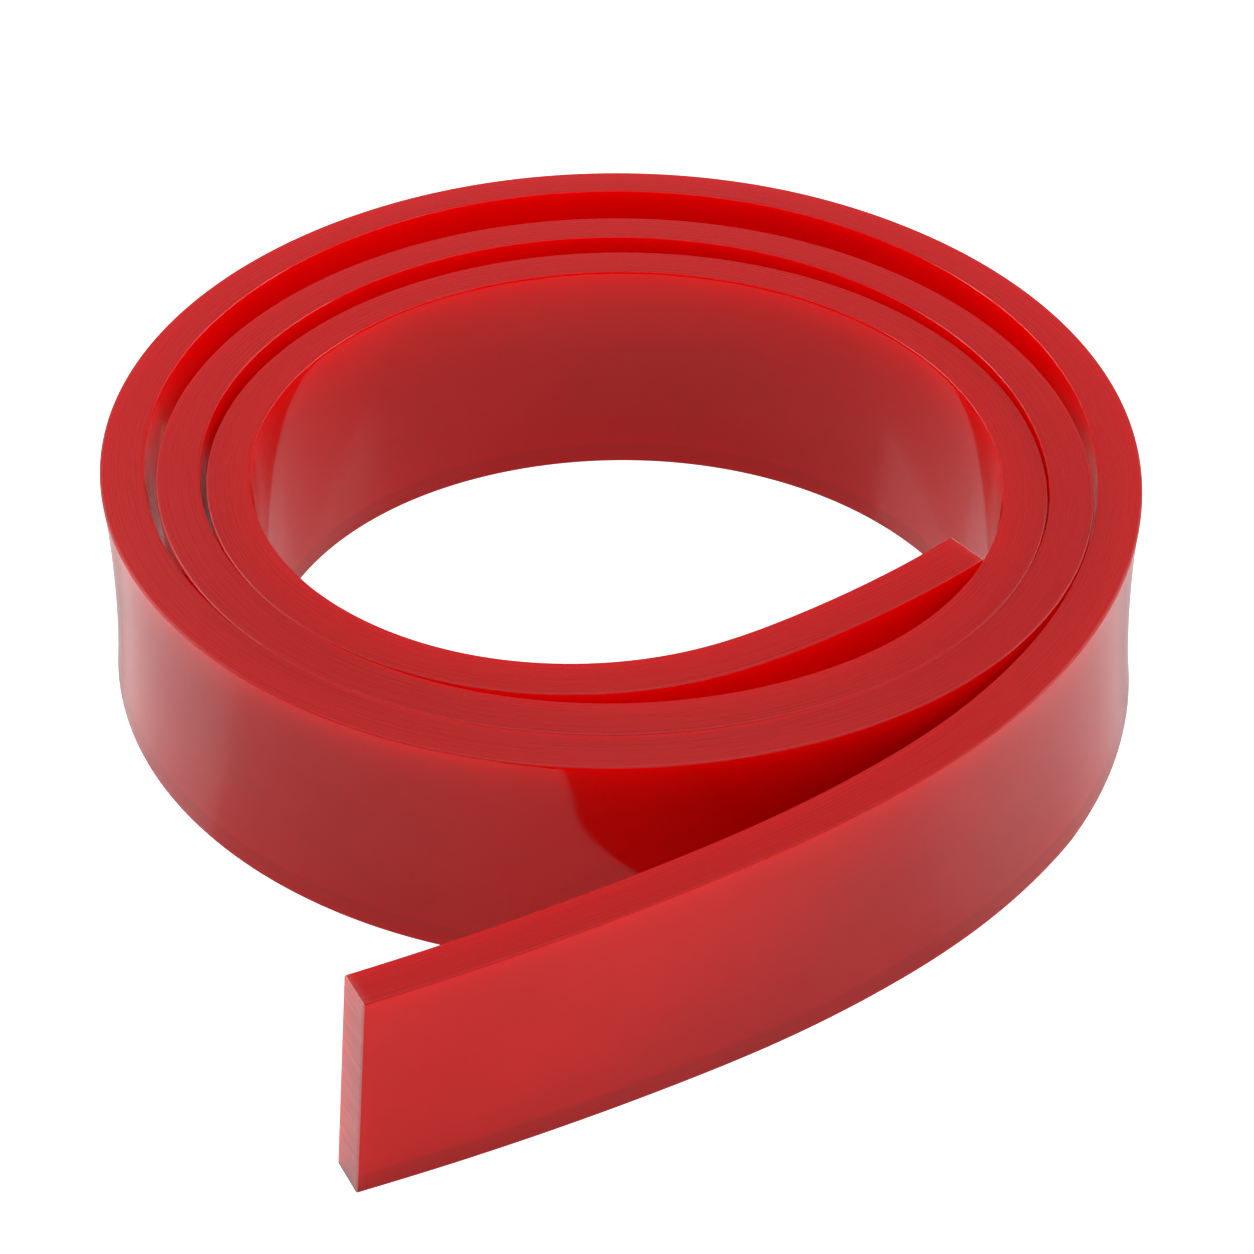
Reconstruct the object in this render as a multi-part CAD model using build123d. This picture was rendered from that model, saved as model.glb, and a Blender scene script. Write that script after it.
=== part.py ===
from build123d import *
import math
import os

# Cast polyurethane squeegee blade, sold as a loose coil that stands on its cut edge.
# One continuous strip: nearly three turns wound outwards, then a free tail that
# leaves the coil and straightens. Plan angles run clockwise from +X, seen from above,
# and give the direction in which the strip's outer face looks.

# Strip
blade_thickness = 9.0
blade_height = 50.0

# Bending round the coil also bends the strip across its height, like a saddle:
# halfway up, its faces bulge this far towards the coil's centre.
saddle_bulge = 1.07
least_bulge = 0.001

# Coil: the bend radius of a tight coil grows by one pitch a turn. Each sixth of a
# turn is looser or tighter than that by its slack, which opens and closes the gaps.
turn_clearance = 0.35
sixths_in_turn = 6
tight_bend_radius = 70.0
inner_turn_slack = (0.0, 0.9, 2.4, 7.1, 8.2, -2.9)
middle_turn_slack = (11.6, 6.6, 4.6, 4.5, 13.3, -1.2)
outer_turn_slack = (9.6, 13.8, 9.9, 3.8, 16.1)
coil_start_angle = 60.0

# Inner end: a short stretch that has sprung nearly straight
inner_end_angle = 46.7
inner_end_radius = 228.0

# The strip leaves the coil on a wider bend that still carries the full saddle
leaving_turn = 30.0
leaving_radius = 125.0

# Tail: the bend and the saddle open out over these turns and radii
fading_stretches = ((18.0, 150.0), (10.0, 257.0))
free_stretch = (7.9, 563.0)
section_spacing = 8.0

# At its free end the foot of the tail stands inwards of the top by this much
tail_lean = 6.0
# The end is cut out of square: the foot is longer than the top by this much
end_cut_slope = 1.4


def outward(angle):
    """Direction in which the outer face looks at a plan angle in degrees."""
    turned = math.radians(angle)
    return Vector(math.cos(turned), -math.sin(turned), 0)


def travel(angle):
    """Direction in which the strip runs on at a plan angle in degrees."""
    turned = math.radians(angle)
    return Vector(-math.sin(turned), -math.cos(turned), 0)


def follow(point, angle, turn, radius):
    """Bend centre and end point of an arc that starts at a point of the strip."""
    centre = point - outward(angle) * radius
    return centre, centre + outward(angle + turn) * radius


def coil_stretches():
    """Turn and bend radius of each stretch, from the inner end to the tail."""
    pitch = blade_thickness + turn_clearance
    slacks = inner_turn_slack + middle_turn_slack + outer_turn_slack
    stretches = [(coil_start_angle - inner_end_angle, inner_end_radius)]
    for sixth, slack in enumerate(slacks):
        tight = tight_bend_radius + pitch * sixth / sixths_in_turn
        stretches.append((360 / sixths_in_turn, tight + slack))
    stretches.append((leaving_turn, leaving_radius))
    return stretches


def strip_section(point, angle, bulge=0.0, lean=0.0, cut_slope=0.0):
    """Face across the strip, with its saddle bulge, its lean and the slope of a cut."""
    half = blade_thickness / 2
    middle = blade_height / 2
    # A bulged side meets the cut edges square, which tips them down on the outside
    tip = 4 * bulge / blade_height * blade_thickness
    foot_inner = (-half - lean, 0)
    foot_outer = (half - lean, tip)
    top_outer = (half, blade_height - tip)
    top_inner = (-half, blade_height)
    inner_middle = (-half - bulge - lean / 2, middle)
    outer_middle = (half - bulge - lean / 2, middle)
    if bulge > least_bulge:
        inner_side = ThreePointArc(top_inner, inner_middle, foot_inner)
        outer_side = ThreePointArc(foot_outer, outer_middle, top_outer)
    else:
        inner_side = Line(top_inner, foot_inner)
        outer_side = Line(foot_outer, top_outer)
    foot = Line(foot_inner, foot_outer)
    top = Line(top_outer, top_inner)
    outline = make_face([foot, outer_side, top, inner_side])
    normal = travel(angle) + Vector(0, 0, cut_slope / blade_height)
    return Plane(origin=point, x_dir=outward(angle), z_dir=normal) * outline


def build_coil():
    """Wind the coil: each stretch is the section turned about its own bend centre."""
    point = Vector(0, 0, 0)
    angle = inner_end_angle
    coil = None
    for turn, radius in coil_stretches():
        section = strip_section(point, angle, saddle_bulge)
        centre, point = follow(point, angle, turn, radius)
        stretch = revolve(section, Axis(centre, (0, 0, -1)), turn)
        coil = stretch if coil is None else coil + stretch
        angle += turn
    return coil, point, angle


def tail_steps():
    """Short turns that the tail is lofted over, each with its bend radius."""
    steps = []
    for turn, radius in fading_stretches + (free_stretch,):
        count = math.ceil(math.radians(turn) * radius / section_spacing)
        steps += [(turn / count, radius)] * count
    return steps


def arc_length(stretches):
    """Length along the strip of stretches given by their turns and radii."""
    return sum(math.radians(turn) * radius for turn, radius in stretches)


def build_tail(point, angle):
    """Loft the tail through sections that lose the saddle and take up the lean."""
    fading = arc_length(fading_stretches)
    length = fading + arc_length([free_stretch])
    sections = [strip_section(point, angle, saddle_bulge)]
    steps = tail_steps()
    for number in range(1, len(steps) + 1):
        turn, radius = steps[number - 1]
        _, point = follow(point, angle, turn, radius)
        angle += turn
        run = arc_length(steps[:number])
        faded = min(1.0, run / fading)
        bulge = saddle_bulge * (1 + math.cos(math.pi * faded)) / 2
        slope = end_cut_slope if number == len(steps) else 0.0
        sections.append(strip_section(point, angle, bulge, tail_lean * run / length, slope))
    return loft(sections, ruled=True)


def stand_centred(solid):
    """Move the strip so that the middle of its bounding box's foot is the origin."""
    box = solid.bounding_box()
    middle = box.center()
    return Pos(-middle.X, -middle.Y, -box.min.Z) * solid


coil, tail_start, tail_angle = build_coil()
tail = build_tail(tail_start, tail_angle)
blade = stand_centred(coil + tail)
os.makedirs("parts", exist_ok=True)
export_step(blade, "parts/blade_strip.step")
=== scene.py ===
import math

import bpy
import bmesh
import numpy as np
from bpy.props import FloatProperty, FloatVectorProperty, PointerProperty
from mathutils import Matrix, Vector


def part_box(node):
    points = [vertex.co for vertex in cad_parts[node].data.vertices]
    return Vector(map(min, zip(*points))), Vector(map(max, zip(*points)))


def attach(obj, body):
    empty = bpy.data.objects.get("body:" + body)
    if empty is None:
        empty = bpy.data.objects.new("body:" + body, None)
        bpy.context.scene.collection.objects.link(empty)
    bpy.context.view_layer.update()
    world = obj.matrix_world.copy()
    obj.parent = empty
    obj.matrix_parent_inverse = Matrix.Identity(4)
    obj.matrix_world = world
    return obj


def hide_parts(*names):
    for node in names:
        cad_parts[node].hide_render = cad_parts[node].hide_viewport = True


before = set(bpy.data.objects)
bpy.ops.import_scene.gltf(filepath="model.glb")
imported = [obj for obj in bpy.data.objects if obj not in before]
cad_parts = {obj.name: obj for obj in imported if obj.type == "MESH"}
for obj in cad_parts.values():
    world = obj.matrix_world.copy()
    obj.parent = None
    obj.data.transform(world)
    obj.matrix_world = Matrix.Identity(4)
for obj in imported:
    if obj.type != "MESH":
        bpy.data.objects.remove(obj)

bl_info = {
    "name": "Squeegee Blade Coil",
    "version": (1, 0, 0),
    "blender": (4, 5, 0),
    "location": "3D View > Sidebar > Blade",
    "description": "A loose coil of cast polyurethane squeegee blade with its finishes and a studio",
    "category": "Add Mesh",
}

BLADE_NODE = "blade_strip"
MM = 0.001

# The winding, in millimetres and degrees. Angles run clockwise from +X, seen from above,
# and give the direction in which the strip's outer face looks. A tight coil's bend radius
# grows by one pitch a turn, and each sixth of a turn differs from that by its slack.
TURN_CLEARANCE = 0.35
SIXTHS_IN_TURN = 6
TIGHT_BEND_RADIUS = 70.0
INNER_TURN_SLACK = (0.0, 0.9, 2.4, 7.1, 8.2, -2.9)
MIDDLE_TURN_SLACK = (11.6, 6.6, 4.6, 4.5, 13.3, -1.2)
OUTER_TURN_SLACK = (9.6, 13.8, 9.9, 3.8, 16.1)
COIL_START_ANGLE = 60.0
INNER_END_ANGLE = 46.7
INNER_END_RADIUS = 228.0
LEAVING_STRETCH = (30.0, 125.0)
FADING_STRETCHES = ((18.0, 150.0), (10.0, 257.0))
FREE_STRETCH = (7.9, 563.0)

SOFTBOX_DISTANCE = 1.2


class BladeSizes(bpy.types.PropertyGroup):
    """Sizes of the strip that the coil is wound from"""

    thickness: FloatProperty(
        name="Thickness",
        description="Thickness of the strip between its moulded faces",
        default=0.009,
        min=0.004,
        max=0.012,
        unit="LENGTH",
    )
    height: FloatProperty(
        name="Height",
        description="Height of the strip between its cut edges",
        default=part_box(BLADE_NODE)[1][2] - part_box(BLADE_NODE)[0][2],
        min=0.02,
        max=0.08,
        unit="LENGTH",
    )
    saddle_bulge: FloatProperty(
        name="Saddle bulge",
        description="How far the bent strip bows towards the coil's centre at half its height",
        default=0.00107,
        min=0.0,
        max=0.003,
        unit="LENGTH",
    )
    edge_flare: FloatProperty(
        name="Edge flare",
        description="How much of the bow is drawn towards the two long edges",
        default=0.2,
        min=0.0,
        max=1.0,
        subtype="FACTOR",
    )
    tail_lean: FloatProperty(
        name="Tail lean",
        description="How far the foot of the free end stands inwards of its top",
        default=0.006,
        min=0.0,
        max=0.015,
        unit="LENGTH",
    )
    end_cut_slope: FloatProperty(
        name="End cut slope",
        description="How much longer the free end is at its foot than at its top",
        default=0.0014,
        min=0.0,
        max=0.005,
        unit="LENGTH",
    )
    edge_easing: FloatProperty(
        name="Edge easing",
        description="Radius that the long edges are rounded to",
        default=0.0003,
        min=0.0001,
        max=0.001,
        unit="LENGTH",
    )
    ring_spacing: FloatProperty(
        name="Ring spacing",
        description="Distance along the strip between two rings of its mesh",
        default=0.0025,
        min=0.001,
        max=0.01,
        unit="LENGTH",
    )


class BladeLook(bpy.types.PropertyGroup):
    """Colours and gloss of the polyurethane"""

    body_colour: FloatVectorProperty(
        name="Body colour",
        description="Colour of the polyurethane in its depth",
        default=(0.74, 0.001, 0.001),
        min=0.0,
        max=1.0,
        size=3,
        subtype="COLOR",
    )
    edge_colour: FloatVectorProperty(
        name="Cut edge colour",
        description="Colour of the sawn long edges",
        default=(0.48, 0.002, 0.003),
        min=0.0,
        max=1.0,
        size=3,
        subtype="COLOR",
    )
    end_colour: FloatVectorProperty(
        name="Cut end colour",
        description="Colour of the pale bruised surface where the strip is cut to length",
        default=(0.66, 0.28, 0.28),
        min=0.0,
        max=1.0,
        size=3,
        subtype="COLOR",
    )
    face_roughness: FloatProperty(
        name="Face roughness",
        description="Roughness of the moulded faces",
        default=0.07,
        min=0.0,
        max=1.0,
        subtype="FACTOR",
    )
    edge_roughness: FloatProperty(
        name="Edge roughness",
        description="Roughness of the sawn edges",
        default=0.28,
        min=0.0,
        max=1.0,
        subtype="FACTOR",
    )
    light_depth: FloatProperty(
        name="Light depth",
        description="How far red light travels inside the polyurethane",
        default=0.030,
        min=0.0,
        max=0.05,
        unit="LENGTH",
    )


class BladeStudio(bpy.types.PropertyGroup):
    """The floor, the lights and the camera"""

    floor_size: FloatProperty(
        name="Floor size",
        description="Length of each side of the floor",
        default=6.0,
        min=1.0,
        max=20.0,
        unit="LENGTH",
    )
    floor_colour: FloatVectorProperty(
        name="Floor colour",
        description="Colour of the pale floor",
        default=(0.42, 0.42, 0.42),
        min=0.0,
        max=1.0,
        size=3,
        subtype="COLOR",
    )
    floor_roughness: FloatProperty(
        name="Floor roughness",
        description="Roughness of the polished pale floor",
        default=0.2,
        min=0.0,
        max=1.0,
        subtype="FACTOR",
    )
    floor_lift: FloatProperty(
        name="Floor lift",
        description="How much brighter the floor looks to the camera, for a white background",
        default=0.9,
        min=0.0,
        max=5.0,
    )
    floor_glow: FloatProperty(
        name="Floor glow",
        description="Brightness of the light table that the coil stands on",
        default=0.25,
        min=0.0,
        max=5.0,
    )
    surround_strength: FloatProperty(
        name="Surround strength",
        description="Brightness of the white surroundings",
        default=0.36,
        min=0.0,
        max=5.0,
    )
    overhead_power: FloatProperty(
        name="Overhead power",
        description="Power of the softbox over the coil",
        default=1.5,
        min=0.0,
        max=1000.0,
        unit="POWER",
    )
    key_power: FloatProperty(
        name="Key power",
        description="Power of the softbox high on the camera's right",
        default=0.8,
        min=0.0,
        max=1000.0,
        unit="POWER",
    )
    left_power: FloatProperty(
        name="Left power",
        description="Power of the softbox at the left behind the coil",
        default=6.5,
        min=0.0,
        max=1000.0,
        unit="POWER",
    )
    right_power: FloatProperty(
        name="Right power",
        description="Power of the softbox at the right behind the coil",
        default=5.0,
        min=0.0,
        max=1000.0,
        unit="POWER",
    )
    back_power: FloatProperty(
        name="Back power",
        description="Power of the softbox high behind the coil",
        default=2.0,
        min=0.0,
        max=1000.0,
        unit="POWER",
    )
    camera_place: FloatVectorProperty(
        name="Camera place",
        description="Where the camera stands",
        default=(0.00125, -0.72833, 0.57445),
        size=3,
        subtype="TRANSLATION",
    )
    camera_pitch: FloatProperty(
        name="Camera pitch",
        description="How far the camera looks down from level",
        default=math.radians(36.94),
        subtype="ANGLE",
    )
    camera_roll: FloatProperty(
        name="Camera roll",
        description="How far the camera is turned about its own axis",
        default=math.radians(0.73),
        subtype="ANGLE",
    )
    camera_lens: FloatProperty(
        name="Lens",
        description="Focal length on a sensor 36 mm wide",
        default=129.27,
        min=10.0,
        max=500.0,
        unit="CAMERA",
    )


class StripPath:
    """The line that the strip follows, at even steps, with what changes along it"""

    def __init__(self, sizes):
        stretches = self.stretches(sizes.thickness / MM)
        self.length = sum(math.radians(t) * r for t, r in stretches) * MM
        self.free_run = self.arc_length([FREE_STRETCH])
        self.fading_run = self.arc_length(FADING_STRETCHES)
        steps = max(8, round(self.length / sizes.ring_spacing))
        self.runs = np.linspace(0.0, self.length, steps + 1)
        self.points, self.outward = self.trace(stretches)
        self.soften(sizes.thickness)
        self.add_end_rings(sizes.edge_easing)
        self.centre_on_frame(sizes)

    @staticmethod
    def arc_length(stretches):
        """Length in metres of stretches given in degrees and millimetres."""
        return sum(math.radians(turn) * radius for turn, radius in stretches) * MM

    @staticmethod
    def stretches(thickness):
        """Turn in degrees and bend radius in millimetres of every stretch in order."""
        pitch = thickness + TURN_CLEARANCE
        found = [(COIL_START_ANGLE - INNER_END_ANGLE, INNER_END_RADIUS)]
        slacks = INNER_TURN_SLACK + MIDDLE_TURN_SLACK + OUTER_TURN_SLACK
        for sixth, slack in enumerate(slacks):
            tight = TIGHT_BEND_RADIUS + pitch * sixth / SIXTHS_IN_TURN
            found.append((360.0 / SIXTHS_IN_TURN, tight + slack))
        return found + [LEAVING_STRETCH, *FADING_STRETCHES, FREE_STRETCH]

    def trace(self, stretches):
        """Points on the arcs at the even runs, and the outward direction at each."""
        points = []
        outward = []
        start = np.zeros(2)
        angle = math.radians(INNER_END_ANGLE)
        begun = 0.0
        last = len(stretches) - 1
        for number, (turn, radius) in enumerate(stretches):
            sweep = math.radians(turn)
            radius *= MM
            ended = begun + sweep * radius
            centre = start - radius * np.array([math.cos(angle), -math.sin(angle)])
            inside = (self.runs >= begun) & ((self.runs < ended) | (number == last))
            bends = angle + (self.runs[inside] - begun) / radius
            facing = np.stack([np.cos(bends), -np.sin(bends)], axis=1)
            points.append(centre + radius * facing)
            outward.append(facing)
            angle += sweep
            start = centre + radius * np.array([math.cos(angle), -math.sin(angle)])
            begun = ended
        return np.concatenate(points), np.concatenate(outward)

    def soften(self, reach):
        """Even out the jumps in bend between stretches over a short reach."""
        step = self.runs[1]
        half = int(3 * reach / step)
        offsets = np.arange(-half, half + 1) * step
        weights = np.exp(-0.5 * (offsets / reach) ** 2)
        weights /= weights.sum()

        def blurred(values):
            ends_before = 2 * values[0] - values[half:0:-1]
            ends_after = 2 * values[-1] - values[-2:-half - 2:-1]
            padded = np.concatenate([ends_before, values, ends_after])
            columns = [np.convolve(column, weights, "valid") for column in padded.T]
            return np.stack(columns, axis=1)

        soft = blurred(self.points)
        # Blurring pulls a curve inwards, so what a second pass takes is given back
        self.points = soft + (soft - blurred(soft))
        along = np.gradient(self.points, axis=0)
        along /= np.linalg.norm(along, axis=1)[:, None]
        self.outward = np.stack([-along[:, 1], along[:, 0]], axis=1)

    def add_end_rings(self, easing):
        """Add close rings by both ends, where the end faces' edges are eased."""
        near = np.array([easing * 0.3, easing])
        extra = np.concatenate([near, self.length - near])
        order = np.argsort(np.concatenate([self.runs, extra]), kind="stable")
        for name in ("points", "outward"):
            values = getattr(self, name)
            added = [np.interp(extra, self.runs, values[:, axis]) for axis in (0, 1)]
            joined = np.concatenate([values, np.stack(added, axis=1)])
            setattr(self, name, joined[order])
        self.runs = np.concatenate([self.runs, extra])[order]

    def centre_on_frame(self, sizes):
        """Move the path so that the strip's outline has the same middle as the frame's."""
        travel = np.stack([self.outward[:, 1], -self.outward[:, 0]], axis=1)
        back = self.cut_back(sizes.end_cut_slope, sizes.thickness)
        top = self.points - travel * back[:, None]
        sides = [top + self.outward * side * sizes.thickness / 2 for side in (-1, 1)]
        outline = np.concatenate(sides)
        middle = (outline.min(axis=0) + outline.max(axis=0)) / 2
        low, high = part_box(BLADE_NODE)
        wanted = np.array([(low[0] + high[0]) / 2, (low[1] + high[1]) / 2])
        self.points = self.points + wanted - middle

    def bulge(self, full):
        """Saddle bulge at each point: full in the coil, faded out along the tail."""
        start = self.length - self.free_run - self.fading_run
        faded = np.clip((self.runs - start) / self.fading_run, 0.0, 1.0)
        return full * (1 + np.cos(np.pi * faded)) / 2

    def lean(self, full):
        """Lean at each point: none in the coil, growing evenly along the tail."""
        tail = self.free_run + self.fading_run
        return full * np.clip(1 - (self.length - self.runs) / tail, 0.0, 1.0)

    def cut_back(self, full, thickness):
        """How far the slanting end cut takes the top back, over the last thickness."""
        return full * np.clip(1 - (self.length - self.runs) / thickness, 0.0, 1.0)

    def inset(self, easing):
        """How far each ring is drawn in, to ease the edges of the two end faces."""
        to_end = np.minimum(self.runs, self.length - self.runs)
        rest = np.clip(1 - to_end / easing, 0.0, 1.0)
        return easing * (1 - np.sqrt(1 - rest ** 2))


def eased_section(thickness, height, easing):
    """Points round the strip's section: across from its middle, up from its foot."""
    corner_steps = 4
    support = easing * 1.2
    corners = (
        (thickness / 2 - easing, easing, -90.0),
        (thickness / 2 - easing, height - easing, 0.0),
        (easing - thickness / 2, height - easing, 90.0),
        (easing - thickness / 2, easing, 180.0),
    )
    side_steps = (18, 3, 18, 3)
    points = []
    for number, (across, up, start) in enumerate(corners):
        for step in range(corner_steps + 1):
            turned = math.radians(start + 90.0 * step / corner_steps)
            points.append((across + easing * math.cos(turned), up + easing * math.sin(turned)))
        following = corners[(number + 1) % 4]
        leaving = math.radians(start + 90.0)
        shift = Vector((math.cos(leaving), math.sin(leaving))) * easing
        begin = Vector((across, up)) + shift
        end = Vector(following[:2]) + shift
        run = (end - begin).normalized() * support
        begin, end = begin + run, end - run
        for step in range(side_steps[number] + 1):
            points.append(tuple(begin.lerp(end, step / side_steps[number])))
    return points


def line_object(name, places, closed):
    """Object whose mesh is a line of edges through the places."""
    count = len(places)
    edges = [(n, n + 1) for n in range(count - 1)]
    if closed:
        edges.append((count - 1, 0))
    mesh = bpy.data.meshes.new(name)
    mesh.from_pydata([tuple(place) for place in places], edges, [])
    line = bpy.data.objects.new(name, mesh)
    bpy.context.scene.collection.objects.link(line)
    return line


def store_floats(mesh, name, values):
    """Store one number for each point of a mesh."""
    layer = mesh.attributes.new(name, "FLOAT", "POINT")
    layer.data.foreach_set("value", np.asarray(values, dtype=np.float32))


def store_vectors(mesh, name, values):
    """Store one vector for each point of a mesh."""
    layer = mesh.attributes.new(name, "FLOAT_VECTOR", "POINT")
    layer.data.foreach_set("vector", np.asarray(values, dtype=np.float32).ravel())


def flat_to_space(values):
    """Plan vectors as vectors in space, at height nought."""
    return np.column_stack([values, np.zeros(len(values))])


class NodeBench:
    """Adds nodes to a tree and links them, so that a formula reads as calls"""

    def __init__(self, tree):
        self.tree = tree
        self.column = 0

    def node(self, kind, **settings):
        """Add a node, with its properties set by name."""
        made = self.tree.nodes.new(kind)
        made.location = (self.column * 190, -(len(self.tree.nodes) % 7) * 170)
        self.column += 1
        for name, value in settings.items():
            setattr(made, name, value)
        return made

    def feed(self, socket, value):
        """Link a socket to a value that is an output socket, or else set it."""
        if isinstance(value, bpy.types.NodeSocket):
            self.tree.links.new(value, socket)
        else:
            socket.default_value = value

    def math(self, operation, first, second=0.0, clamp=False):
        """One math node on two numbers."""
        made = self.node("ShaderNodeMath", operation=operation, use_clamp=clamp)
        self.feed(made.inputs[0], first)
        self.feed(made.inputs[1], second)
        return made.outputs[0]

    def vector_math(self, operation, first, second):
        """One vector math node on two vectors."""
        made = self.node("ShaderNodeVectorMath", operation=operation)
        self.feed(made.inputs[0], first)
        self.feed(made.inputs[1], second)
        return made.outputs[0]

    def scaled(self, vector, factor):
        """A vector times a number."""
        made = self.node("ShaderNodeVectorMath", operation="SCALE")
        self.feed(made.inputs[0], vector)
        self.feed(made.inputs["Scale"], factor)
        return made.outputs[0]


class GeometryBench(NodeBench):
    """Node bench for a geometry tree"""

    def attribute(self, name, kind="FLOAT"):
        """Read a named attribute."""
        made = self.node("GeometryNodeInputNamedAttribute", data_type=kind)
        made.inputs["Name"].default_value = name
        return made.outputs["Attribute"]

    def combine(self, x, y, z):
        """A vector from three numbers."""
        made = self.node("ShaderNodeCombineXYZ")
        for socket, value in zip(made.inputs, (x, y, z)):
            self.feed(socket, value)
        return made.outputs[0]

    def separate(self, vector):
        """The three numbers of a vector."""
        made = self.node("ShaderNodeSeparateXYZ")
        self.feed(made.inputs[0], vector)
        return made.outputs


def wound_strip_inputs(tree):
    """Name the tree's inputs and its output."""
    sockets = (
        ("Path", "NodeSocketGeometry"),
        ("Section", "NodeSocketObject"),
        ("Thickness", "NodeSocketFloat"),
        ("Height", "NodeSocketFloat"),
        ("Length", "NodeSocketFloat"),
        ("End Depth", "NodeSocketFloat"),
        ("Edge Flare", "NodeSocketFloat"),
        ("Moulded Face", "NodeSocketMaterial"),
        ("Sawn Edge", "NodeSocketMaterial"),
        ("Cut End", "NodeSocketMaterial"),
    )
    for name, kind in sockets:
        tree.interface.new_socket(name=name, in_out="INPUT", socket_type=kind)
    tree.interface.new_socket(name="Strip", in_out="OUTPUT", socket_type="NodeSocketGeometry")


def strip_place(bench, given):
    """Where each point of the strip lies, from its place on the path and the section."""
    thickness, height = given["Thickness"], given["Height"]
    across, up, _ = bench.separate(bench.attribute("section_place", "FLOAT_VECTOR"))
    inset = bench.math("MULTIPLY", bench.attribute("inset"), 2.0)
    narrowing = bench.math("SUBTRACT", 1.0, bench.math("DIVIDE", inset, thickness))
    lowering = bench.math("SUBTRACT", 1.0, bench.math("DIVIDE", inset, height))
    across = bench.math("MULTIPLY", across, narrowing)
    # Height as 1 at the foot, 0 halfway up and -1 at the top
    from_middle = bench.math("SUBTRACT", 1.0, bench.math("DIVIDE", bench.math("MULTIPLY", up, 2.0), height))
    from_middle = bench.math("MULTIPLY", from_middle, lowering)
    footward = bench.math("MULTIPLY", bench.math("ADD", from_middle, 1.0), 0.5)
    bulge = bench.attribute("bulge")
    # Even bow, and one that is flatter halfway up and steeper at both edges
    squared = bench.math("MULTIPLY", from_middle, from_middle)
    even = bench.math("SUBTRACT", 1.0, squared)
    flared = bench.math("MULTIPLY", bench.math("MULTIPLY", even, squared), given["Edge Flare"])
    bowed = bench.math("ADD", even, flared)
    shift = bench.math("MULTIPLY", bulge, bowed)
    leaning = bench.math("MULTIPLY", bench.attribute("lean"), footward)
    out = bench.math("SUBTRACT", bench.math("SUBTRACT", across, shift), leaning)
    # The cut edges stay square to the bowed faces, which tips their outer side
    tip = bench.math("DIVIDE", bench.math("MULTIPLY", bulge, 4.0), height)
    share = bench.math("ADD", across, bench.math("MULTIPLY", thickness, 0.5))
    tipped = bench.math("MULTIPLY", bench.math("MULTIPLY", tip, share), from_middle)
    raised = bench.math("MULTIPLY", bench.math("SUBTRACT", 1.0, from_middle), 0.5)
    raised = bench.math("ADD", bench.math("MULTIPLY", raised, height), tipped)
    outward = bench.attribute("outward", "FLOAT_VECTOR")
    travel = bench.vector_math("CROSS_PRODUCT", outward, (0.0, 0.0, 1.0))
    # The foot reaches the end of the path, and the top stops short of it
    onward = bench.math("MULTIPLY", bench.attribute("cut_back"), bench.math("SUBTRACT", footward, 1.0))
    place = bench.vector_math(
        "ADD", bench.attribute("centre", "FLOAT_VECTOR"), bench.scaled(outward, out)
    )
    place = bench.vector_math("ADD", place, bench.scaled(travel, onward))
    return bench.vector_math("ADD", place, bench.combine(0.0, 0.0, raised))


def wound_strip_tree():
    """Geometry tree that sweeps the section along the path and bends it to shape."""
    tree = bpy.data.node_groups.new("Wound Strip", "GeometryNodeTree")
    wound_strip_inputs(tree)
    bench = GeometryBench(tree)
    given = bench.node("NodeGroupInput").outputs
    path = bench.node("GeometryNodeMeshToCurve")
    bench.feed(path.inputs["Mesh"], given["Path"])
    section_object = bench.node("GeometryNodeObjectInfo")
    bench.feed(section_object.inputs["Object"], given["Section"])
    section = bench.node("GeometryNodeMeshToCurve")
    bench.feed(section.inputs["Mesh"], section_object.outputs["Geometry"])
    swept = bench.node("GeometryNodeCurveToMesh")
    bench.feed(swept.inputs["Curve"], path.outputs["Curve"])
    bench.feed(swept.inputs["Profile Curve"], section.outputs["Curve"])
    swept.inputs["Fill Caps"].default_value = True
    shaped = bench.node("GeometryNodeSetPosition")
    bench.feed(shaped.inputs["Geometry"], swept.outputs["Mesh"])
    bench.feed(shaped.inputs["Position"], strip_place(bench, given))

    # What the finishes read: along the strip, across it and up it, in metres
    run = bench.attribute("run")
    across, up, _ = bench.separate(bench.attribute("section_place", "FLOAT_VECTOR"))
    marked = bench.node(
        "GeometryNodeStoreNamedAttribute", data_type="FLOAT_VECTOR", domain="POINT"
    )
    marked.inputs["Name"].default_value = "strip"
    bench.feed(marked.inputs["Geometry"], shaped.outputs["Geometry"])
    bench.feed(marked.inputs["Value"], bench.combine(run, across, up))

    # An end face is where the whole face lies within the end depth of an end
    to_end = bench.math("MINIMUM", run, bench.math("SUBTRACT", given["Length"], run))
    at_end = bench.math("LESS_THAN", to_end, given["End Depth"])
    _, _, facing_up = bench.separate(bench.node("GeometryNodeInputNormal").outputs[0])
    on_edge = bench.math("GREATER_THAN", bench.math("ABSOLUTE", facing_up), 0.7)
    smooth = bench.node("GeometryNodeSetShadeSmooth")
    bench.feed(smooth.inputs["Geometry"], marked.outputs["Geometry"])
    realized = bench.node("GeometryNodeRealizeInstances")
    bench.feed(realized.inputs["Geometry"], smooth.outputs["Geometry"])
    dressed = realized.outputs["Geometry"]
    for material, chosen in (("Moulded Face", None), ("Sawn Edge", on_edge), ("Cut End", at_end)):
        setter = bench.node("GeometryNodeSetMaterial")
        bench.feed(setter.inputs["Geometry"], dressed)
        bench.feed(setter.inputs["Material"], given[material])
        if chosen is not None:
            bench.feed(setter.inputs["Selection"], chosen)
        dressed = setter.outputs["Geometry"]
    bench.feed(bench.node("NodeGroupOutput").inputs["Strip"], dressed)
    return tree


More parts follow.
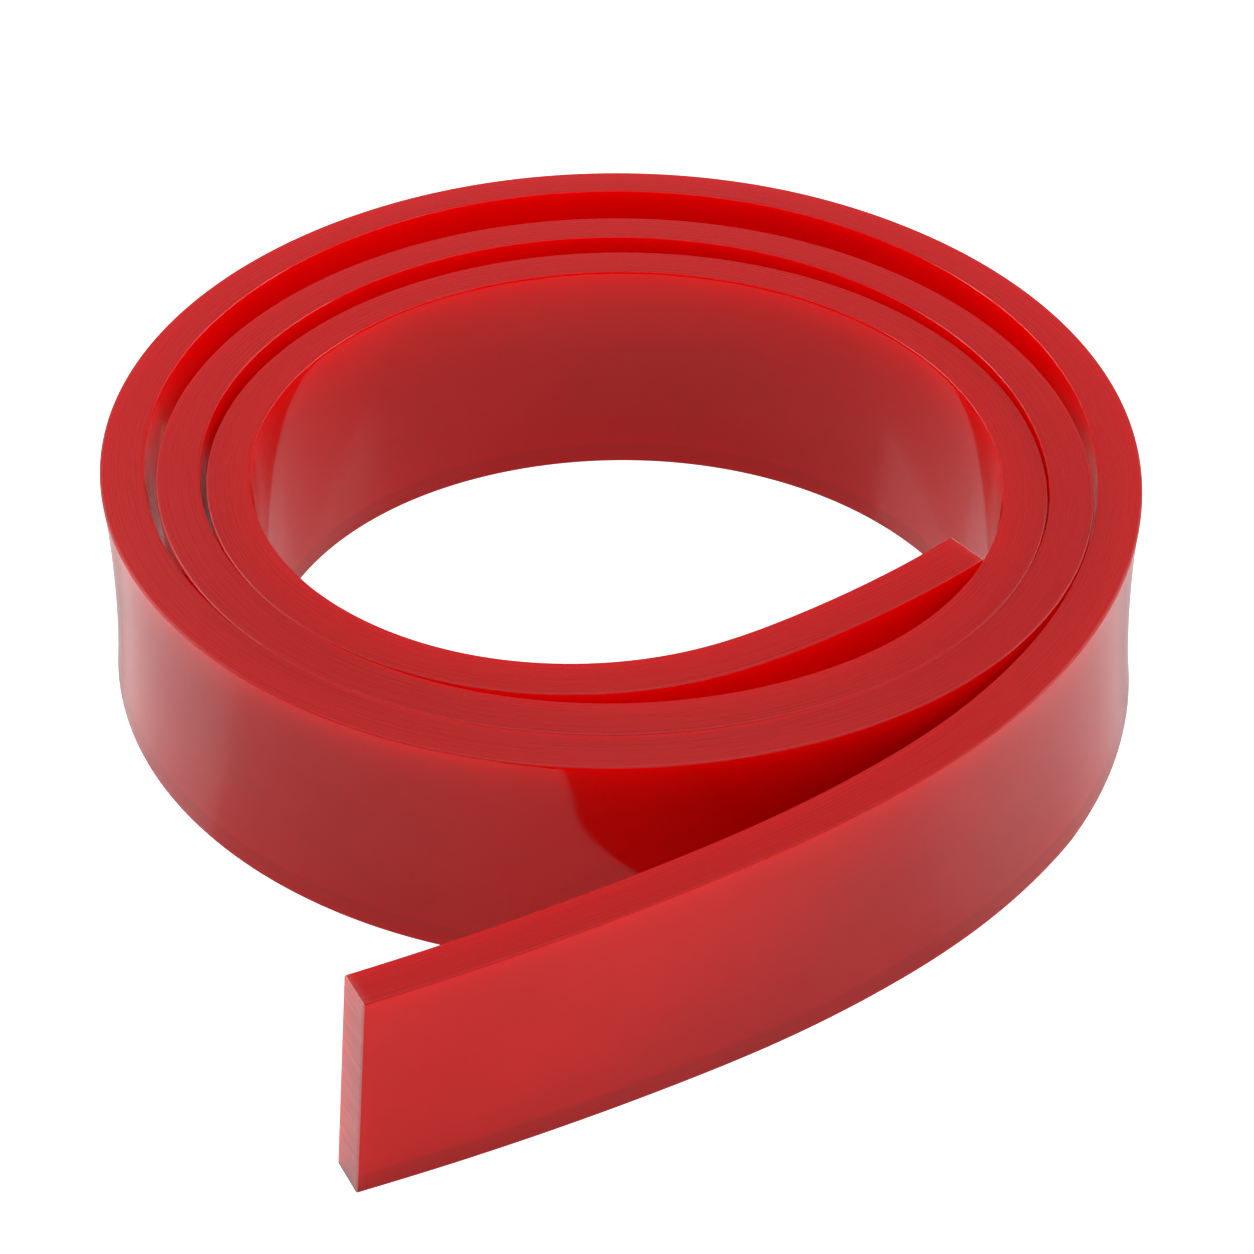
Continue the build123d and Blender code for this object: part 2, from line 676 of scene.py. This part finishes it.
def set_inputs(modifier, values):
    """Set a geometry modifier's inputs, found by their names in its tree."""
    for item in modifier.node_group.interface.items_tree:
        if item.item_type == "SOCKET" and item.in_out == "INPUT" and item.name in values:
            modifier[item.identifier] = values[item.name]


def settled(source, name):
    """Plain mesh object from what an object's modifiers make."""
    graph = bpy.context.evaluated_depsgraph_get()
    mesh = bpy.data.meshes.new_from_object(source.evaluated_get(graph), depsgraph=graph)
    mesh.name = name
    piece = bpy.data.objects.new(name, mesh)
    bpy.context.scene.collection.objects.link(piece)
    return piece


def tidy_mesh(piece):
    """Turn all faces outwards and keep the two end faces flat."""
    made = bmesh.new()
    made.from_mesh(piece.data)
    bmesh.ops.recalc_face_normals(made, faces=made.faces)
    for face in made.faces:
        if len(face.verts) > 4:
            face.smooth = False
    made.to_mesh(piece.data)
    made.free()
    piece.data.update()


class ShaderBench(NodeBench):
    """Node bench for a material, with its shader and the strip's own coordinates"""

    def __init__(self, name):
        self.material = bpy.data.materials.new(name)
        self.material.use_nodes = True
        super().__init__(self.material.node_tree)
        self.shader = self.tree.nodes["Principled BSDF"]
        strip = self.node("ShaderNodeAttribute", attribute_name="strip")
        self.strip = strip.outputs["Vector"]

    def set(self, **values):
        """Set the shader's own sockets; an underscore in a name stands for a space."""
        for name, value in values.items():
            self.shader.inputs[name.replace("_", " ")].default_value = value

    def stretched(self, along, across, up, turned=0.0):
        """The strip's coordinates scaled along, across and up it, in steps a metre."""
        made = self.node("ShaderNodeMapping")
        made.inputs["Rotation"].default_value = (turned, 0.0, 0.0)
        made.inputs["Scale"].default_value = (along, across, up)
        self.feed(made.inputs["Vector"], self.strip)
        return made.outputs[0]

    def noise(self, place, scale=1.0, detail=2.0, roughness=0.5):
        """Soft noise, from 0 to 1."""
        made = self.node("ShaderNodeTexNoise")
        self.feed(made.inputs["Vector"], place)
        made.inputs["Scale"].default_value = scale
        made.inputs["Detail"].default_value = detail
        made.inputs["Roughness"].default_value = roughness
        return made.outputs["Fac"]

    def between(self, value, low, high, first=0.0, second=1.0):
        """Value from low to high mapped smoothly to first to second."""
        made = self.node("ShaderNodeMapRange", interpolation_type="SMOOTHSTEP")
        self.feed(made.inputs["Value"], value)
        for name, limit in (("From Min", low), ("From Max", high), ("To Min", first), ("To Max", second)):
            made.inputs[name].default_value = limit
        return made.outputs[0]

    def mixed(self, factor, first, second):
        """Colour between two colours."""
        made = self.node("ShaderNodeMix", data_type="RGBA")
        self.feed(made.inputs[0], factor)
        self.feed(made.inputs[6], first)
        self.feed(made.inputs[7], second)
        return made.outputs[2]

    def bump(self, height, depth, before=None):
        """Bump of a depth in metres, on top of another where one is given."""
        made = self.node("ShaderNodeBump")
        made.inputs["Strength"].default_value = 1.0
        made.inputs["Distance"].default_value = depth
        self.feed(made.inputs["Height"], height)
        if before is not None:
            self.feed(made.inputs["Normal"], before)
        return made.outputs[0]

    def up(self):
        """Height above the strip's foot, in metres."""
        made = self.node("ShaderNodeSeparateXYZ")
        self.feed(made.inputs[0], self.strip)
        return made.outputs[2]


def rgba(colour, factor=1.0):
    """Colour with full alpha, darkened or lightened by a factor."""
    return tuple(min(1.0, part * factor) for part in colour) + (1.0,)


def polyurethane_depth(bench, look, share=1.0):
    """Set how light travels inside the polyurethane, and its share of the surface."""
    bench.set(
        Subsurface_Weight=share,
        Subsurface_Radius=(1.0, 0.03, 0.03),
        Subsurface_Scale=look.light_depth,
        IOR=1.5,
    )


def moulded_face(look):
    """Glossy moulded face: even red with slow waves, and painted shade darkening it near its foot."""
    bench = ShaderBench("moulded_polyurethane_face")
    polyurethane_depth(bench, look)
    bench.set(Roughness=look.face_roughness)
    cloud = bench.noise(bench.stretched(14.0, 14.0, 22.0), detail=3.0)
    base = bench.mixed(
        bench.between(cloud, 0.35, 0.65), rgba(look.body_colour, 0.92), rgba(look.body_colour, 1.06)
    )
    # Painted shade: the lowest few millimetres of the face are darkened, standing in for the floor's
    # contact shadow mirrored in it
    painted_foot_shade = bench.between(bench.up(), 0.0042, 0.0056, 1.0, 0.0)
    base = bench.mixed(bench.math("MULTIPLY", painted_foot_shade, 0.3), base, rgba(look.body_colour, 0.45))
    bench.feed(bench.shader.inputs["Base Color"], base)
    waves = bench.noise(bench.stretched(18.0, 18.0, 30.0), detail=1.0)
    bench.feed(bench.shader.inputs["Normal"], bench.bump(waves, 0.0003))
    return bench.material


def sawn_edge(look):
    """Satin sawn edge: fine lines along the strip, with slow darker patches."""
    bench = ShaderBench("sawn_polyurethane_edge")
    polyurethane_depth(bench, look, share=0.35)
    lines = bench.noise(bench.stretched(25.0, 1800.0, 1.0), detail=3.0, roughness=0.6)
    slow = bench.noise(bench.stretched(9.0, 120.0, 1.0), detail=2.0)
    base = bench.mixed(
        bench.between(lines, 0.35, 0.7), rgba(look.edge_colour, 0.985), rgba(look.edge_colour, 1.025)
    )
    base = bench.mixed(bench.between(slow, 0.4, 0.7, 0.0, 0.3), base, rgba(look.edge_colour, 0.93))
    bench.feed(bench.shader.inputs["Base Color"], base)
    rough = bench.between(lines, 0.3, 0.7, look.edge_roughness * 0.95, look.edge_roughness * 1.05)
    bench.feed(bench.shader.inputs["Roughness"], rough)
    bench.set(Specular_IOR_Level=0.3)
    bench.feed(bench.shader.inputs["Normal"], bench.bump(lines, 0.000005))
    return bench.material


def cut_end(look):
    """Pale end face with the slanting marks of the knife that cut the strip."""
    bench = ShaderBench("knife_cut_polyurethane_end")
    polyurethane_depth(bench, look)
    marks = bench.noise(bench.stretched(1.0, 60.0, 900.0, turned=math.radians(25.0)), detail=3.0)
    base = bench.mixed(
        bench.between(marks, 0.35, 0.7), rgba(look.end_colour, 0.93), rgba(look.end_colour, 1.06)
    )
    bench.feed(bench.shader.inputs["Base Color"], base)
    bench.set(Roughness=0.5)
    bench.feed(bench.shader.inputs["Normal"], bench.bump(marks, 0.00012))
    return bench.material


class BLADE_OT_wind_strip(bpy.types.Operator):
    """Wind the strip into its coil and give it its three finishes"""

    bl_idname = "blade.wind_strip"
    bl_label = "Wind Strip"

    def execute(self, context):
        sizes = context.scene.blade_sizes
        look = context.scene.blade_look
        path = StripPath(sizes)
        centre = flat_to_space(path.points)
        line = line_object("strip_path", centre, closed=False)
        store_vectors(line.data, "centre", centre)
        store_vectors(line.data, "outward", flat_to_space(path.outward))
        store_floats(line.data, "run", path.runs)
        store_floats(line.data, "bulge", path.bulge(sizes.saddle_bulge))
        store_floats(line.data, "lean", path.lean(sizes.tail_lean))
        store_floats(line.data, "cut_back", path.cut_back(sizes.end_cut_slope, sizes.thickness))
        store_floats(line.data, "inset", path.inset(sizes.edge_easing))
        rim = eased_section(sizes.thickness, sizes.height, sizes.edge_easing)
        places = flat_to_space(np.array(rim))
        section = line_object("strip_section", places, closed=True)
        store_vectors(section.data, "section_place", places)

        modifier = line.modifiers.new("Wound Strip", "NODES")
        modifier.node_group = wound_strip_tree()
        set_inputs(
            modifier,
            {
                "Section": section,
                "Thickness": sizes.thickness,
                "Height": sizes.height,
                "Length": path.length,
                "End Depth": sizes.edge_easing,
                "Edge Flare": sizes.edge_flare,
                "Moulded Face": moulded_face(look),
                "Sawn Edge": sawn_edge(look),
                "Cut End": cut_end(look),
            },
        )
        blade = settled(line, "blade")
        for helper in (line, section):
            bpy.data.objects.remove(helper)
        tidy_mesh(blade)
        if len(blade.data.polygons) < len(path.runs):
            raise RuntimeError("the strip has too few faces, so it wasn't swept")
        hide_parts(BLADE_NODE)
        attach(blade, "root")
        return {"FINISHED"}


def softbox(name, round_from_front, elevation, size, power):
    """White softbox that faces the coil; its angles are in degrees, seen from the coil."""
    data = bpy.data.lights.new(name, "AREA")
    data.shape = "RECTANGLE"
    data.size, data.size_y = size
    data.energy = power
    turned = math.radians(round_from_front)
    raised = math.radians(elevation)
    towards = Vector(
        (math.sin(turned) * math.cos(raised), -math.cos(turned) * math.cos(raised), math.sin(raised))
    )
    light = bpy.data.objects.new(name, data)
    light.location = towards * SOFTBOX_DISTANCE
    light.rotation_euler = towards.to_track_quat("Z", "Y").to_euler()
    bpy.context.scene.collection.objects.link(light)


class BLADE_OT_set_stage(bpy.types.Operator):
    """Set the floor, the white surroundings, the softboxes and the camera"""

    bl_idname = "blade.set_stage"
    bl_label = "Set Stage"

    def execute(self, context):
        scene = context.scene
        studio = scene.blade_studio
        self.lay_floor(studio)
        self.light_surroundings(scene, studio)
        softbox("overhead_softbox", 0.0, 85.0, (0.9, 0.7), studio.overhead_power)
        softbox("key_softbox", 70.0, 50.0, (0.6, 0.5), studio.key_power)
        softbox("left_softbox", -125.0, 37.0, (0.9, 0.4), studio.left_power)
        softbox("right_softbox", 120.0, 37.0, (1.1, 0.4), studio.right_power)
        softbox("back_softbox", 180.0, 66.0, (1.0, 0.35), studio.back_power)
        self.place_camera(scene, studio)
        scene.view_settings.view_transform = "Standard"
        scene.view_settings.look = "None"
        return {"FINISHED"}

    def lay_floor(self, studio):
        half = studio.floor_size / 2
        mesh = bpy.data.meshes.new("floor")
        corners = [(-half, -half, 0), (half, -half, 0), (half, half, 0), (-half, half, 0)]
        mesh.from_pydata(corners, [], [(0, 1, 2, 3)])
        floor = bpy.data.objects.new("floor", mesh)
        bpy.context.scene.collection.objects.link(floor)
        material = bpy.data.materials.new("pale_floor")
        material.use_nodes = True
        shader = material.node_tree.nodes["Principled BSDF"]
        shader.inputs["Base Color"].default_value = rgba(studio.floor_colour)
        shader.inputs["Roughness"].default_value = studio.floor_roughness
        shader.inputs["Emission Color"].default_value = (1.0, 1.0, 1.0, 1.0)
        bench = NodeBench(material.node_tree)
        # The view of the floor is lifted to white, and its light on the blade stays as it is
        seen = bench.node("ShaderNodeLightPath").outputs["Is Camera Ray"]
        lift = bench.math("MULTIPLY", seen, studio.floor_lift)
        glow = bench.math("ADD", lift, studio.floor_glow)
        bench.feed(shader.inputs["Emission Strength"], glow)
        mesh.materials.append(material)

    def light_surroundings(self, scene, studio):
        world = bpy.data.worlds.new("white_studio")
        world.use_nodes = True
        background = world.node_tree.nodes["Background"]
        background.inputs["Color"].default_value = (1.0, 1.0, 1.0, 1.0)
        background.inputs["Strength"].default_value = studio.surround_strength
        scene.world = world

    def place_camera(self, scene, studio):
        data = bpy.data.cameras.new("photo_camera")
        data.sensor_fit = "HORIZONTAL"
        data.sensor_width = 36.0
        data.lens = studio.camera_lens
        data.clip_start = 0.01
        data.clip_end = 50.0
        camera = bpy.data.objects.new("photo_camera", data)
        camera.location = studio.camera_place
        looking = Matrix.Rotation(math.radians(90.0) - studio.camera_pitch, 4, "X")
        rolled = Matrix.Rotation(-studio.camera_roll, 4, "Z")
        camera.rotation_euler = (looking @ rolled).to_euler()
        bpy.context.scene.collection.objects.link(camera)
        scene.camera = camera


class BLADE_PT_sidebar(bpy.types.Panel):
    """Sizes, finishes and studio of the blade coil"""

    bl_label = "Squeegee Blade"
    bl_idname = "BLADE_PT_sidebar"
    bl_space_type = "VIEW_3D"
    bl_region_type = "UI"
    bl_category = "Blade"

    def draw(self, context):
        scene = context.scene
        for group in (scene.blade_sizes, scene.blade_look, scene.blade_studio):
            box = self.layout.box()
            for name in group.__annotations__:
                box.prop(group, name)
        for operator in (BLADE_OT_wind_strip, BLADE_OT_set_stage):
            self.layout.operator(operator.bl_idname)


CLASSES = (
    BladeSizes,
    BladeLook,
    BladeStudio,
    BLADE_OT_wind_strip,
    BLADE_OT_set_stage,
    BLADE_PT_sidebar,
)


def register():
    for cls in CLASSES:
        bpy.utils.register_class(cls)
    bpy.types.Scene.blade_sizes = PointerProperty(type=BladeSizes)
    bpy.types.Scene.blade_look = PointerProperty(type=BladeLook)
    bpy.types.Scene.blade_studio = PointerProperty(type=BladeStudio)


def unregister():
    del bpy.types.Scene.blade_studio
    del bpy.types.Scene.blade_look
    del bpy.types.Scene.blade_sizes
    for cls in reversed(CLASSES):
        bpy.utils.unregister_class(cls)


def main():
    """Build the blade and its stage."""
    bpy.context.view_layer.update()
    register()
    bpy.ops.blade.wind_strip()
    bpy.ops.blade.set_stage()


if __name__ == "__main__":
    main()
